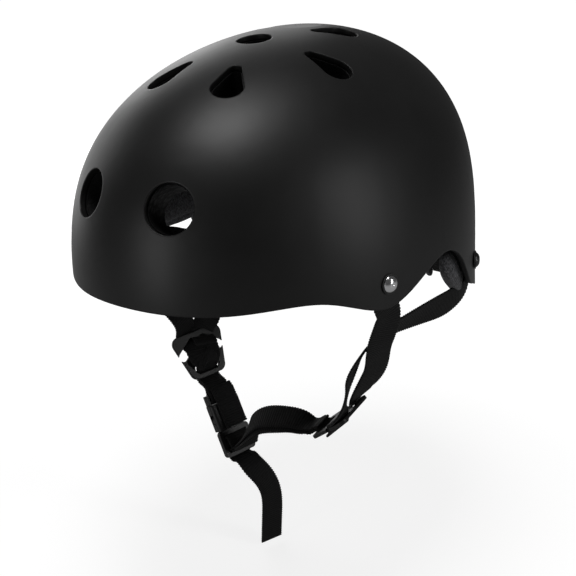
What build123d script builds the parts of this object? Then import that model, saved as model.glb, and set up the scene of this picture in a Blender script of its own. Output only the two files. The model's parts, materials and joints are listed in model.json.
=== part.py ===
from build123d import *

import os
from math import cos, radians, sin, sqrt

# Skateboard helmet: a hard shell over a foam liner, comfort pads, a riveted harness and a chin buckle.
# Millimetres. The wearer faces -Y, the wearer's left is +X. The origin is the middle of the head opening,
# at the height of the front rim, which is also where the shell is widest.

# Outer shell
half_width = 105.0
front_length = 141.0
rear_length = 124.6
shell_rise = 118.5
crown_shift = 15.0
nape_drop = 24.5
nape_corner_radius = 3.0
shell_wall = 3.0
overrun = 8.0
side_power_share, front_power_share, rear_power_share = 2.73, 3.0, 2.9
side_taper_share, front_taper_share, rear_taper_share = 0.078, 0.004, 0.026
level_shares = (0.0, 0.2, 0.4, 0.55, 0.68, 0.78, 0.86, 0.92, 0.96, 0.985, 0.996)

# Rim line seen from the side: shares of the front length, shares of the nape drop
rim_shares = (
    (-1.06, 0.0), (-0.82, -0.07), (-0.60, -0.04), (-0.47, -0.29), (-0.348, -0.46), (-0.248, -0.306),
    (-0.092, 0.135), (0.011, 0.27), (0.10, 0.114), (0.20, -0.41), (0.27, -0.89),
)
nape_rim_shares = (
    (0.34, -1.10), (0.42, -1.28), (0.50, -1.41), (0.62, -1.52), (0.78, -1.58), (0.94, -1.60),
)

# Vents
round_vent_spread = 27.0
round_vent_level = 48.3
round_vent_radius = 12.6
crown_vent_forward = 28.3
crown_vent_radius = 9.7
petal_ring_radius = 48.0
petal_length = 28.0
petal_wide_radius = 8.6
petal_narrow_radius = 3.6
petal_turn_degrees = (24.3, 93.3, 151.8)
petal_reach_shares = (1.02, 0.965, 1.0)

# Foam liner
seat_gap = 0.3
liner_thickness = 20.0
liner_set_back = 3.0
liner_vent_step = 0.8
channel_width = 18.0
channel_depth = 7.0
channel_level = 25.0

# Comfort pads
pad_stand_off = 2.0
pad_thickness = 9.0
pad_edge = 3.5
front_pad_low, front_pad_high, front_pad_half_degrees = 4.0, 33.0, 42.0
rear_pad_low, rear_pad_high, rear_pad_half_degrees = -31.0, 10.0, 72.0
side_pad_low, side_pad_high, side_pad_half_degrees = -5.0, 29.0, 21.0
side_pad_middle_degrees = 72.0
crown_pad_half_width, crown_pad_half_length = 36.0, 44.0
crown_pad_hole_radius = 15.0
pad_sections = 17
pad_end_share = 0.5
patch_radius = 8.0
patch_thickness = 1.0
patch_gap = 0.5
pad_patch_share = 0.6

# Rivets, washers and straps at the rivets
front_rivet_forward, front_rivet_level = 47.4, 1.7
rear_rivet_back, rear_rivet_level = 52.0, -13.8
rivet_head_radius = 4.4
rivet_head_height = 1.8
head_bulge_shares = (0.707, 0.766)
rivet_shank_radius = 2.2
rivet_hole_gap = 0.3
rivet_tail_radius = 3.6
rivet_tail_height = 1.0
trim_washer_radius = 5.4
trim_washer_thickness = 0.6
backing_washer_radius = 5.6
backing_washer_thickness = 1.0
stack_gap = 0.2
strap_shell_gap = 0.9
pocket_radius = 12.5
pocket_foot_radius = 18.0
pocket_clearance = 2.5
pocket_foot_drop = 26.0

# Webbing
strap_width = 16.0
strap_thickness = 1.5
strap_end_length = 9.0
strap_step = 4.0
strap_fine_step = 1.3
strap_fine_length = 13.0
strap_hold_share = 0.12

# Strap dividers
divider_width, divider_length, divider_thickness = 36.0, 30.0, 2.0
divider_corner_radius = 5.0
divider_foot_share = 0.62
divider_slot_length = 17.6
divider_slot_height = 6.0
divider_slot_spread, divider_slot_rise, divider_slot_degrees = 8.8, 5.2, 35.0
divider_foot_slot_height = 6.8
slot_bend_gap = 0.45
divider_foot_slot_drop = 8.6
divider_edge_round = 0.4
left_divider_side, left_divider_forward, left_divider_drop = 54.0, 27.0, 97.0
right_divider_side, right_divider_forward, right_divider_drop = 54.0, 23.3, 84.7
left_divider_across_shares = (-0.17, 0.98, 0.03)
left_divider_down_shares = (-0.75, -0.11, -0.65)
right_divider_across_shares = (0.25, 0.96, 0.08)
right_divider_down_shares = (0.45, -0.07, -0.89)

# Places along the straps between rivets, dividers and buckle: shares of the half width, of the front length
# and of the drop to that side's divider
front_left_route_shares = (
    (0.895, -0.287, -0.168), (0.819, -0.245, -0.408), (0.724, -0.171, -0.642), (0.619, -0.140, -0.822),
)
rear_left_route_shares = (
    (0.886, 0.350, -0.271), (0.872, 0.265, -0.348), (0.857, 0.126, -0.356), (0.800, -0.065, -0.375),
    (0.735, -0.180, -0.435), (0.672, -0.232, -0.560), (0.629, -0.243, -0.720),
)
front_right_route_shares = ((-0.824, -0.309, -0.224), (-0.733, -0.277, -0.472), (-0.630, -0.246, -0.740))
rear_right_route_shares = (
    (-0.870, 0.310, -0.308), (-0.780, 0.200, -0.450), (-0.660, 0.060, -0.630), (-0.515, -0.050, -0.785),
)
chin_route_shares = (
    (0.286, -0.222, -1.110), (0.171, -0.245, -1.125), (0.040, -0.262, -1.170), (-0.060, -0.262, -1.270),
)

# Side release buckle
buckle_side, buckle_forward, buckle_drop = 28.5, 26.8, 127.8
buckle_across_shares = (0.25, 0.96, 0.08)
buckle_down_shares = (0.45, -0.09, -0.885)
buckle_width = 22.0
socket_length = 17.0
socket_thickness = 8.0
socket_round = 2.4
socket_wall = 1.6
socket_bar_width = 2.4
buckle_slot_height = 4.4
socket_window_length = 6.0
socket_window_offset = 5.0
plug_gap = 0.5
plug_shoulder_length = 4.0
plug_thickness = 3.6
ladder_bar_width = 2.6
tongue_width = 3.0
arm_width = 2.2
arm_length = 12.5
arm_lobe = 1.5
lobe_bulge_share = 0.8
bar_clearance = 0.5
chin_end_gap = 1.5
chin_end_rise = 6.6

# Loose strap end: shares of the buckle's place, and of the tail's own drop
tail_drop = 205.0
tail_start_gap = 3.0
tail_route_shares = (
    (-0.124, -0.223, -0.719), (-0.086, -0.213, -0.754), (-0.057, -0.188, -0.810), (-0.038, -0.167, -0.907),
    (-0.020, -0.150, -1.0),
)

nape_reach = -nape_rim_shares[-1][1] * nape_drop
slope_step_share = 0.0001
liner_outer_inset = shell_wall + seat_gap
liner_inner_inset = liner_outer_inset + liner_thickness
pad_back_inset = liner_inner_inset + pad_stand_off
strap_depth = shell_wall + strap_shell_gap + strap_thickness / 2
os.makedirs("parts", exist_ok=True)


def skin_sizes(level, inset=0.0):
    """Half width, front length, rear length and rearward shift of the dome's section at a level."""
    height = level / (shell_rise - inset)
    above = min(max(height, 0), 1)
    half = (half_width - inset) * sqrt(1 - above**side_power_share) * (1 - side_taper_share * height)
    front = (front_length - inset) * sqrt(1 - above**front_power_share) * (1 - front_taper_share * height)
    rear = (rear_length - inset) * sqrt(1 - above**rear_power_share) * (1 - rear_taper_share * height)
    return half, front, rear, crown_shift * above**2


def outside(point, inset=0.0):
    """Above zero outside the dome, zero on its skin, below zero inside it."""
    half, front, rear, shift = skin_sizes(point.Z, inset)
    length = front if point.Y < shift else rear
    return (point.X / half) ** 2 + ((point.Y - shift) / length) ** 2 - 1


def first_outside(start, end, inset=0.0):
    """The point where the line from an inner start to an outer end leaves the dome."""
    inner, outer = 0.0, 1.0
    for _ in range(50):
        middle = (inner + outer) / 2
        if outside(start + (end - start) * middle, inset) < 0:
            inner = middle
        else:
            outer = middle
    return start + (end - start) * inner


def skin_normal(point, inset=0.0):
    """Outward direction of the dome's skin."""
    step = shell_rise * slope_step_share
    slopes = []
    for axis in (Vector(1, 0, 0), Vector(0, 1, 0), Vector(0, 0, 1)):
        slopes.append(outside(point + axis * step, inset) - outside(point - axis * step, inset))
    return Vector(*slopes).normalized()


def skin_plane(point, toward, inset=0.0):
    """Plane on the skin with its z axis outward and its x axis near a wanted direction."""
    normal = skin_normal(point, inset)
    across = (toward - normal * toward.dot(normal)).normalized()
    return Plane(origin=point, x_dir=across, z_dir=normal)


def dome(inset):
    """Solid dome, a given depth inside the outer skin, from below the rim to the crown."""
    levels = [-(nape_reach + overrun)] + [share * (shell_rise - inset) for share in level_shares]
    with BuildPart() as solid:
        for level in levels:
            half, front, rear, shift = skin_sizes(level, inset)
            with BuildSketch(Plane.XY.offset(level)):
                with BuildLine():
                    EllipticalCenterArc((0, shift), half, rear, start_angle=0, arc_size=180)
                    EllipticalCenterArc((0, shift), half, front, start_angle=180, arc_size=180)
                make_face()
        loft()
    return solid.part


def below_rim(set_back):
    """Everything under the rim line, with the line raised by a set back."""
    line = [(y * front_length, z * nape_drop + set_back) for y, z in rim_shares]
    nape_line = [(y * front_length, z * nape_drop + set_back) for y, z in nape_rim_shares]
    nape = set_back - nape_drop
    below = -nape_reach * 2
    with BuildPart() as space:
        with BuildSketch(Plane.YZ):
            with BuildLine():
                edge = Spline(*line)
                end = edge @ 1
                corner = (end.X + (end.Y - nape), nape)
                Polyline(end, corner, nape_line[0])
                Spline(*nape_line)
                Polyline(nape_line[-1], (nape_line[-1][0], below), (line[0][0], below), line[0])
            make_face()
            near_corner = vertices().sort_by_distance(Vector(*corner))[0]
            fillet(near_corner, nape_corner_radius)
        extrude(amount=half_width + overrun, both=True)
    return space.part


def round_vent_planes():
    """Places of the two front and the two rear vents."""
    planes = []
    for end in (-1, 1):
        for side in (-1, 1):
            inside = Vector(side * round_vent_spread, 0, round_vent_level)
            far = Vector(side * round_vent_spread, end * front_length * 2, round_vent_level)
            planes.append(skin_plane(first_outside(inside, far), Vector(0, 0, 1)))
    return planes


def crown_point(x, y, inset=0.0):
    """Point of the dome's skin above a place in plan."""
    return first_outside(Vector(x, y, 0), Vector(x, y, shell_rise - inset), inset)


def petal_planes():
    """Places of the six drop-shaped vents, with the x axis away from the crown vent."""
    planes = []
    for turn, reach in zip(petal_turn_degrees, petal_reach_shares):
        for side in (-1, 1):
            away = Vector(side * sin(radians(turn)), -cos(radians(turn)), 0)
            place = Vector(0, -crown_vent_forward, 0) + away * (petal_ring_radius * reach)
            planes.append(skin_plane(crown_point(place.X, place.Y), away))
    return planes


def vent_cutters(step):
    """Cutters for all eleven vents, smaller than the shell's vents by a step."""
    reach = liner_inner_inset + overrun
    with BuildPart() as cutters:
        with BuildSketch(*round_vent_planes()):
            Circle(round_vent_radius - step)
        extrude(amount=reach, both=True)
        with BuildSketch(skin_plane(crown_point(0, -crown_vent_forward), Vector(1, 0, 0))):
            Circle(crown_vent_radius - step)
        extrude(amount=reach, both=True)
        for plane in petal_planes():
            with BuildSketch(plane):
                with Locations((petal_length / 2 - petal_wide_radius, 0)):
                    Circle(petal_wide_radius - step)
                with Locations((petal_narrow_radius - petal_length / 2, 0)):
                    Circle(petal_narrow_radius - step)
                make_hull()
            extrude(amount=reach, both=True)
    return cutters.part


def rivet_plane(back, level, side):
    """Plane on the skin at a rivet, with its z axis outward and its x axis toward the rear."""
    inside = Vector(0, back, level)
    far = Vector(side * half_width * 2, back, level)
    return skin_plane(first_outside(inside, far), Vector(0, 1, 0))


front_rivet_planes = {side: rivet_plane(-front_rivet_forward, front_rivet_level, side) for side in (1, -1)}
rear_rivet_planes = {side: rivet_plane(rear_rivet_back, rear_rivet_level, side) for side in (1, -1)}


def rivet_pocket(plane, side, lean):
    """Space in the foam for a strap end, its backing washer and the rivet's tail, open at the rim."""
    with BuildPart() as pocket:
        with BuildSketch(plane.offset(-pocket_floor)):
            Circle(pocket_radius)
            with Locations((lean * (pocket_foot_radius - pocket_radius), -side * pocket_foot_drop)):
                Circle(pocket_foot_radius)
            make_hull()
        extrude(amount=pocket_floor + overrun)
    return pocket.part


backing_top = strap_depth + strap_thickness / 2 + stack_gap
tail_top = backing_top + backing_washer_thickness + stack_gap
pocket_floor = tail_top + rivet_tail_height + pocket_clearance


def name_and_write(part, name):
    """Label a finished piece and write its file."""
    part.label = name
    export_step(part, "parts/" + name + ".step")


# Outer shell: two domes, cut along the rim line, with vents and rivet holes
with BuildPart() as outer_shell:
    add(dome(0.0))
    add(dome(shell_wall), mode=Mode.SUBTRACT)
    add(below_rim(0.0), mode=Mode.SUBTRACT)
    add(vent_cutters(0.0), mode=Mode.SUBTRACT)
    for plane in (*front_rivet_planes.values(), *rear_rivet_planes.values()):
        with BuildSketch(plane):
            Circle(rivet_shank_radius + rivet_hole_gap)
        extrude(amount=shell_wall * 2, both=True, mode=Mode.SUBTRACT)
name_and_write(outer_shell.part, "outer_shell")

# Foam liner, with air channels that join the front, petal and rear vents
with BuildPart() as channels:
    add(dome(liner_inner_inset - channel_depth))
    with BuildSketch(Plane.XY.offset(channel_level)):
        with Locations((-round_vent_spread, 0), (round_vent_spread, 0)):
            Rectangle(channel_width, front_length * 2)
    extrude(amount=shell_rise, mode=Mode.INTERSECT)

with BuildPart() as foam_liner:
    add(dome(liner_outer_inset))
    add(dome(liner_inner_inset), mode=Mode.SUBTRACT)
    add(below_rim(liner_set_back), mode=Mode.SUBTRACT)
    add(channels.part, mode=Mode.SUBTRACT)
    add(vent_cutters(liner_vent_step), mode=Mode.SUBTRACT)
    for side in (1, -1):
        add(rivet_pocket(front_rivet_planes[side], side, 1), mode=Mode.SUBTRACT)
        add(rivet_pocket(rear_rivet_planes[side], side, -1), mode=Mode.SUBTRACT)
name_and_write(foam_liner.part, "foam_liner")


def wall_point(degrees, level, inset):
    """Point of the inset dome at an angle from the front, toward the wearer's left, and a level."""
    away = Vector(sin(radians(degrees)), -cos(radians(degrees)), 0)
    start = Vector(0, 0, level)
    return first_outside(start, start + away * front_length * 2, inset)


def band_pad(middle_degrees, half_degrees, low, high):
    """Crowned cushion along the inside of the liner, thinner and lower toward both ends."""
    with BuildPart() as pad:
        for index in range(pad_sections):
            turn_share = sin(radians(180 * index / (pad_sections - 1) - 90))
            size_share = pad_end_share + (1 - pad_end_share) * sqrt(max(1 - turn_share**6, 0))
            degrees = middle_degrees + half_degrees * turn_share
            away = Vector(sin(radians(degrees)), -cos(radians(degrees)), 0)
            middle = (low + high) / 2
            reach = (high - low) / 2 * size_share
            levels = (middle - reach, middle, middle + reach)
            back = [(wall_point(degrees, level, pad_back_inset).dot(away), level) for level in levels]
            crown = pad_edge + (pad_thickness - pad_edge) * size_share
            top, foot = (back[2][0] - pad_edge, levels[2]), (back[0][0] - pad_edge, levels[0])
            with BuildSketch(Plane(origin=(0, 0, 0), x_dir=away, z_dir=away.cross(Vector(0, 0, 1)))):
                with BuildLine():
                    ThreePointArc(*back)
                    Line(back[2], top)
                    ThreePointArc(top, (back[1][0] - crown, middle), foot)
                    Line(foot, back[0])
                make_face()
        loft()
    return pad.part


name_and_write(band_pad(0, front_pad_half_degrees, front_pad_low, front_pad_high), "front_pad")
name_and_write(band_pad(180, rear_pad_half_degrees, rear_pad_low, rear_pad_high), "rear_pad")
for hand, turn in (("left", side_pad_middle_degrees), ("right", -side_pad_middle_degrees)):
    name_and_write(band_pad(turn, side_pad_half_degrees, side_pad_low, side_pad_high), "side_pad_" + hand)

with BuildPart() as crown_pad:
    add(dome(pad_back_inset))
    add(dome(pad_back_inset + pad_thickness), mode=Mode.SUBTRACT)
    with BuildSketch(Plane.XY.offset(channel_level)):
        with Locations((0, -crown_vent_forward / 2)):
            Ellipse(crown_pad_half_width, crown_pad_half_length)
            Circle(crown_pad_hole_radius, mode=Mode.SUBTRACT)
    extrude(amount=shell_rise, mode=Mode.INTERSECT)
name_and_write(crown_pad.part, "crown_pad")


def patch_planes():
    """Places of the hook patches on the liner's inner skin."""
    planes = []
    for middle, half, low, high in (
        (0, front_pad_half_degrees, front_pad_low, front_pad_high),
        (180, rear_pad_half_degrees, rear_pad_low, rear_pad_high),
    ):
        for turn in (-half * pad_patch_share, half * pad_patch_share):
            point = wall_point(middle + turn, (low + high) / 2, liner_inner_inset)
            planes.append(skin_plane(point, Vector(0, 0, 1), liner_inner_inset))
    for middle in (side_pad_middle_degrees, -side_pad_middle_degrees):
        point = wall_point(middle, (side_pad_low + side_pad_high) / 2, liner_inner_inset)
        planes.append(skin_plane(point, Vector(0, 0, 1), liner_inner_inset))
    for side in (-1, 1):
        across = side * (crown_pad_half_width + crown_pad_hole_radius) / 2
        point = crown_point(0, across - crown_vent_forward / 2, liner_inner_inset)
        planes.append(skin_plane(point, Vector(1, 0, 0), liner_inner_inset))
    return planes


with BuildPart() as hook_patches:
    with BuildSketch(*[plane.offset(-patch_gap) for plane in patch_planes()]):
        Circle(patch_radius)
    extrude(amount=-patch_thickness)
name_and_write(hook_patches.part, "hook_patches")


def rivet(plane):
    """Domed head, shank and flared tail, turned about the rivet's axis."""
    head_base = 2 * stack_gap + trim_washer_thickness
    head_top = head_base + rivet_head_height
    profile = Plane(origin=plane.origin, x_dir=plane.x_dir, z_dir=-plane.y_dir)
    bulge = (rivet_head_radius * head_bulge_shares[0], head_base + rivet_head_height * head_bulge_shares[1])
    with BuildPart() as piece:
        with BuildSketch(profile):
            with BuildLine():
                ThreePointArc((0, head_top), bulge, (rivet_head_radius, head_base))
                Polyline(
                    (rivet_head_radius, head_base), (rivet_shank_radius, head_base),
                    (rivet_shank_radius, -tail_top), (rivet_tail_radius, -tail_top),
                    (rivet_tail_radius, -tail_top - rivet_tail_height),
                    (0, -tail_top - rivet_tail_height), (0, head_top),
                )
            make_face()
        revolve(axis=Axis(plane.origin, plane.z_dir))
    return piece.part


def washer(plane, depth, radius, thickness):
    """Flat washer on a rivet, from a height over the skin inward."""
    with BuildPart() as piece:
        with BuildSketch(plane.offset(depth)):
            Circle(radius)
            Circle(rivet_shank_radius + rivet_hole_gap, mode=Mode.SUBTRACT)
        extrude(amount=-thickness)
        outer_edges = edges().filter_by(GeomType.CIRCLE).sort_by(SortBy.RADIUS)[-2:]
        chamfer(outer_edges, thickness / 4)
    return piece.part


for end, planes in (("front", front_rivet_planes), ("rear", rear_rivet_planes)):
    for hand, side in (("left", 1), ("right", -1)):
        place = end + "_" + hand
        plane = planes[side]
        name_and_write(rivet(plane), "rivet_" + place)
        trim = washer(plane, stack_gap + trim_washer_thickness, trim_washer_radius, trim_washer_thickness)
        name_and_write(trim, "trim_washer_" + place)
        backing = washer(plane, -backing_top, backing_washer_radius, backing_washer_thickness)
        name_and_write(backing, "backing_washer_" + place)


def place_plane(side, forward, drop, across_shares, down_shares):
    """Plane of a hard piece on the harness: x across the strap toward the rear, y up the strap."""
    across = Vector(*across_shares).normalized()
    up = -Vector(*down_shares)
    up = (up - across * up.dot(across)).normalized()
    return Plane(origin=(side, -forward, -drop), x_dir=across, z_dir=across.cross(up))


left_divider_plane = place_plane(
    left_divider_side, left_divider_forward, left_divider_drop, left_divider_across_shares,
    left_divider_down_shares,
)
right_divider_plane = place_plane(
    -right_divider_side, right_divider_forward, right_divider_drop, right_divider_across_shares,
    right_divider_down_shares,
)
buckle_plane = place_plane(
    -buckle_side, buckle_forward, buckle_drop, buckle_across_shares, buckle_down_shares,
)


def divider(plane):
    """Flat plate with two slanted upper slots and one level slot below."""
    with BuildPart() as piece:
        with BuildSketch(plane):
            ear = divider_corner_radius
            for side in (-1, 1):
                with Locations(
                    (side * (divider_width / 2 - ear), divider_length / 2 - ear),
                    (side * (divider_width / 2 - ear) * divider_foot_share, ear - divider_length / 2),
                ):
                    Circle(ear)
            make_hull()
            for side in (-1, 1):
                place = (side * divider_slot_spread, divider_slot_rise, 0)
                with Locations(Location(place, -side * divider_slot_degrees)):
                    SlotOverall(divider_slot_length, divider_slot_height, mode=Mode.SUBTRACT)
            with Locations((0, -divider_foot_slot_drop)):
                SlotOverall(divider_slot_length, divider_foot_slot_height, mode=Mode.SUBTRACT)
        extrude(amount=divider_thickness / 2, both=True)
        outline = edges().filter_by(Axis(plane.origin, plane.z_dir), reverse=True)
        fillet(outline, divider_edge_round)
    return piece.part


name_and_write(divider(left_divider_plane), "divider_left")
name_and_write(divider(right_divider_plane), "divider_right")


def strap(points, start_facing, end_facing, fine_start, fine_end, layer_shift=0.0):
    """Flat webbing on a smooth route, turned from one facing to another, with finer steps at tight ends."""
    route = Spline(*points)
    length = route.length
    low = strap_fine_length if fine_start else 0.0
    high = length - strap_fine_length if fine_end else length
    places = []
    stretches = ((0.0, low, strap_fine_step), (low, high, strap_step), (high, length, strap_fine_step))
    for first, last, step in stretches:
        count = round((last - first) / step)
        places = places + [first + (last - first) * index / count for index in range(count)]
    places.append(length)
    with BuildPart() as piece:
        for place in places:
            share = place / length
            turned = min(max((share - strap_hold_share) / (1 - 2 * strap_hold_share), 0), 1)
            facing = start_facing + (end_facing - start_facing) * turned
            along = route % share
            section = Plane(origin=route @ share, x_dir=facing.cross(along).normalized(), z_dir=along)
            with BuildSketch(section):
                with Locations((0, layer_shift)):
                    Rectangle(strap_width, strap_thickness)
        loft(ruled=True)
    return piece.part


def harness_points(shares, drop):
    """Route points from shares of the half width, of the front length and of a drop."""
    return [Vector(x * half_width, y * front_length, z * drop) for x, y, z in shares]


slot_bend = divider_thickness / 2 + strap_thickness / 2 + slot_bend_gap
foot_bend = divider_thickness / 2 + strap_thickness + seat_gap + slot_bend_gap
strap_end_shares = (-1.0, -0.4, 0.3, 0.95)
slot_bend_shares = (
    (0.80, 1.0), (0.43, 0.90), (0.20, 0.53), (0.0, 0.0), (-0.20, -0.53), (-0.43, -0.90), (-0.60, -1.0),
)
foot_bend_shares = ((-0.22, 0.70), (-0.55, 0.97), (-1.1, 1.0))


def rivet_to_slot(plane, divider_plane, inner, slot_side, shares, drop, name):
    """A strap from its rivet, behind the shell, to the inner face of its divider and out through one slot."""
    down = Vector(0, 0, -1)
    depth = plane.origin - plane.z_dir * strap_depth
    down = (down - plane.z_dir * down.dot(plane.z_dir)).normalized()
    slope = radians(divider_slot_degrees)
    up_strap = divider_plane.x_dir * slot_side * sin(slope) + divider_plane.y_dir * cos(slope)
    slot = divider_plane.origin + divider_plane.x_dir * slot_side * divider_slot_spread
    slot = slot + divider_plane.y_dir * divider_slot_rise
    points = [depth + down * strap_end_length * share for share in strap_end_shares]
    points = points + harness_points(shares, drop)
    for along_share, inward_share in slot_bend_shares:
        points.append(slot + up_strap * divider_slot_height * along_share + inner * slot_bend * inward_share)
    with BuildPart() as piece:
        add(strap(points, plane.z_dir, -inner, False, True))
        with BuildSketch(Plane(origin=depth, z_dir=plane.z_dir)):
            Circle(rivet_shank_radius + rivet_hole_gap)
        extrude(amount=strap_thickness, both=True, mode=Mode.SUBTRACT)
    name_and_write(piece.part, name)


left_inner = -left_divider_plane.z_dir
right_inner = right_divider_plane.z_dir
rivet_to_slot(
    front_rivet_planes[1], left_divider_plane, left_inner, 1, front_left_route_shares, left_divider_drop,
    "front_strap_left",
)
rivet_to_slot(
    rear_rivet_planes[1], left_divider_plane, left_inner, -1, rear_left_route_shares, left_divider_drop,
    "rear_strap_left",
)
rivet_to_slot(
    front_rivet_planes[-1], right_divider_plane, right_inner, -1, front_right_route_shares,
    right_divider_drop, "front_strap_right",
)
rivet_to_slot(
    rear_rivet_planes[-1], right_divider_plane, right_inner, 1, rear_right_route_shares, right_divider_drop,
    "rear_strap_right",
)


def foot_slot_points(plane, inner):
    """Where doubled webbing leaves a divider: out of the foot slot to the inner face."""
    slot = plane.origin - plane.y_dir * divider_foot_slot_drop
    points = []
    for along_share, inward_share in foot_bend_shares:
        along = plane.y_dir * divider_foot_slot_height * along_share
        points.append(slot + along + inner * foot_bend * inward_share)
    return points


layer_shift = strap_thickness / 2 + seat_gap / 2


def on_buckle(across, up, inward):
    """A point given along the buckle's own directions."""
    plane = buckle_plane
    return plane.origin + plane.x_dir * across + plane.y_dir * up + plane.z_dir * inward


socket_top = socket_length + buckle_slot_height + socket_bar_width
ladder_foot = -(plug_shoulder_length + 2 * buckle_slot_height + 2 * ladder_bar_width)
ladder_slot_middle = -(plug_shoulder_length + ladder_bar_width + buckle_slot_height + buckle_slot_height / 2)

# Chin strap: two layers from the left divider's foot slot to the plug's middle ladder bar
with BuildPart() as chin_strap:
    chin_points = foot_slot_points(left_divider_plane, left_inner)
    chin_points = chin_points + harness_points(chin_route_shares, left_divider_drop)
    chin_points = chin_points + [
        on_buckle(0, ladder_slot_middle, plug_thickness / 2 + chin_end_rise),
        on_buckle(0, ladder_slot_middle, plug_thickness / 2 + chin_end_gap),
    ]
    for shift in (layer_shift, -layer_shift):
        add(strap(chin_points, -left_inner, -buckle_plane.y_dir, True, False, shift))
name_and_write(chin_strap.part, "chin_strap")

# Buckle strap: two layers from the right divider's foot slot to the socket's bar
with BuildPart() as buckle_strap:
    loop_points = foot_slot_points(right_divider_plane, right_inner)
    loop_points = loop_points + [
        on_buckle(0, socket_top + buckle_slot_height, 0),
        on_buckle(0, socket_top + bar_clearance * 2, 0),
    ]
    for shift in (layer_shift, -layer_shift):
        add(strap(loop_points, -right_inner, -buckle_plane.z_dir, True, False, shift))
name_and_write(buckle_strap.part, "buckle_strap")

# Socket: hollow body with a side window for each latch arm, and a loop bar above
pocket_width = buckle_width - 2 * socket_wall
pocket_thickness = socket_thickness - 2 * socket_wall
with BuildPart() as buckle_socket:
    with BuildSketch(buckle_plane):
        with Locations((0, socket_length / 2)):
            Rectangle(buckle_width, socket_length)
    extrude(amount=socket_thickness / 2, both=True)
    fillet(edges().filter_by(Axis(buckle_plane.origin, buckle_plane.y_dir)), socket_round)
    with BuildSketch(buckle_plane):
        with Locations((0, (socket_length + socket_top) / 2 - socket_round)):
            Rectangle(buckle_width, socket_top - socket_length + socket_round * 2)
        with Locations((0, socket_length + buckle_slot_height / 2)):
            Rectangle(strap_width + 2 * seat_gap, buckle_slot_height, mode=Mode.SUBTRACT)
    extrude(amount=ladder_bar_width / 2, both=True)
    with BuildSketch(buckle_plane):
        with Locations((0, (socket_length - socket_wall * 2) / 2)):
            Rectangle(pocket_width, socket_length - socket_wall * 2)
    extrude(amount=pocket_thickness / 2, both=True, mode=Mode.SUBTRACT)
    with BuildSketch(buckle_plane):
        with Locations((0, socket_window_offset + socket_window_length / 2)):
            Rectangle(buckle_width * 2, socket_window_length)
    extrude(amount=pocket_thickness / 2, both=True, mode=Mode.SUBTRACT)
name_and_write(buckle_socket.part, "buckle_socket")

# Plug: shoulder, ladder bars below it and a guide tongue into the socket
with BuildPart() as buckle_plug:
    ladder_length = -ladder_foot - plug_gap
    with BuildSketch(buckle_plane):
        with Locations((0, (ladder_foot - plug_gap) / 2)):
            RectangleRounded(buckle_width, ladder_length, socket_round)
        for slot_top in (plug_shoulder_length, plug_shoulder_length + buckle_slot_height + ladder_bar_width):
            with Locations((0, -slot_top - buckle_slot_height / 2)):
                Rectangle(strap_width + 2 * seat_gap, buckle_slot_height, mode=Mode.SUBTRACT)
    extrude(amount=plug_thickness / 2, both=True)
    with BuildSketch(buckle_plane):
        with Locations((0, (arm_length - plug_gap) / 2 - plug_gap)):
            Rectangle(tongue_width, arm_length + plug_gap)
    extrude(amount=pocket_thickness / 2 - seat_gap, both=True)
name_and_write(buckle_plug.part, "buckle_plug")


def latch_arm(side):
    """Springy arm beside the tongue, with a lobe that stands out through the socket's window."""
    outer = pocket_width / 2 - seat_gap
    inner = outer - arm_width
    lobe_low = socket_window_offset + seat_gap
    lobe_high = lobe_low + socket_window_length - 2 * seat_gap
    with BuildPart() as arm:
        with BuildSketch(buckle_plane):
            with BuildLine():
                Polyline(
                    (side * inner, 0), (side * outer, 0), (side * outer, lobe_low),
                    (side * (outer + arm_lobe), lobe_low),
                )
                lobe_middle = (side * (outer + arm_lobe * lobe_bulge_share), (lobe_low + lobe_high) / 2)
                lobe_end = (side * (outer - seat_gap), lobe_high)
                ThreePointArc((side * (outer + arm_lobe), lobe_low), lobe_middle, lobe_end)
                Polyline(
                    (side * (outer - seat_gap), lobe_high), (side * inner, arm_length), (side * inner, 0),
                )
            make_face()
        extrude(amount=pocket_thickness / 2 - seat_gap, both=True)
    return arm.part


name_and_write(latch_arm(-1), "latch_arm_front")
name_and_write(latch_arm(1), "latch_arm_rear")

# Loose end of the chin strap: over the plug's foot bar and down
with BuildPart() as strap_tail:
    over_bar = plug_thickness / 2 + bar_clearance + strap_thickness / 2
    tail_points = [on_buckle(0, ladder_foot - tail_start_gap, over_bar)]
    tail_points = tail_points + harness_points(tail_route_shares, tail_drop)
    add(strap(tail_points, buckle_plane.z_dir, buckle_plane.z_dir, False, False))
name_and_write(strap_tail.part, "strap_tail")
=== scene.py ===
import json
from math import copysign, cos, pi, radians, sin, sqrt

import bpy
import numpy
from mathutils import Matrix, Vector


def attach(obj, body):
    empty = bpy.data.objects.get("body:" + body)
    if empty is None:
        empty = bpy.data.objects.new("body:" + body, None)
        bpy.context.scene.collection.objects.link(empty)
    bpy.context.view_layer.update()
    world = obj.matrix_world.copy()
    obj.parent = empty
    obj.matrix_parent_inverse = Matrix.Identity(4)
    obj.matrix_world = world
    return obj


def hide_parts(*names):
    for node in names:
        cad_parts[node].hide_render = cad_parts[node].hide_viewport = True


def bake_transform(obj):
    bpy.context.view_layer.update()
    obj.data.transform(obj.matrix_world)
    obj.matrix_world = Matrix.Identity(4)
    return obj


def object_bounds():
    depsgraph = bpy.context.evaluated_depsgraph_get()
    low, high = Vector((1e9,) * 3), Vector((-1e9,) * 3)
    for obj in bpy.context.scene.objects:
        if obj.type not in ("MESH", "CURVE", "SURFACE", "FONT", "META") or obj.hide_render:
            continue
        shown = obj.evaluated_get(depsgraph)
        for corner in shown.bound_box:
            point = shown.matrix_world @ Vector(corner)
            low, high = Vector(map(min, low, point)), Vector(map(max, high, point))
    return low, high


# Skateboard helmet. The wearer faces -Y, the wearer's left is +X, and +Z is up.
# Routes and sizes are in millimetres, as in the part's source, and become metres when a mesh is made.
millimetre = 0.001

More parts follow.
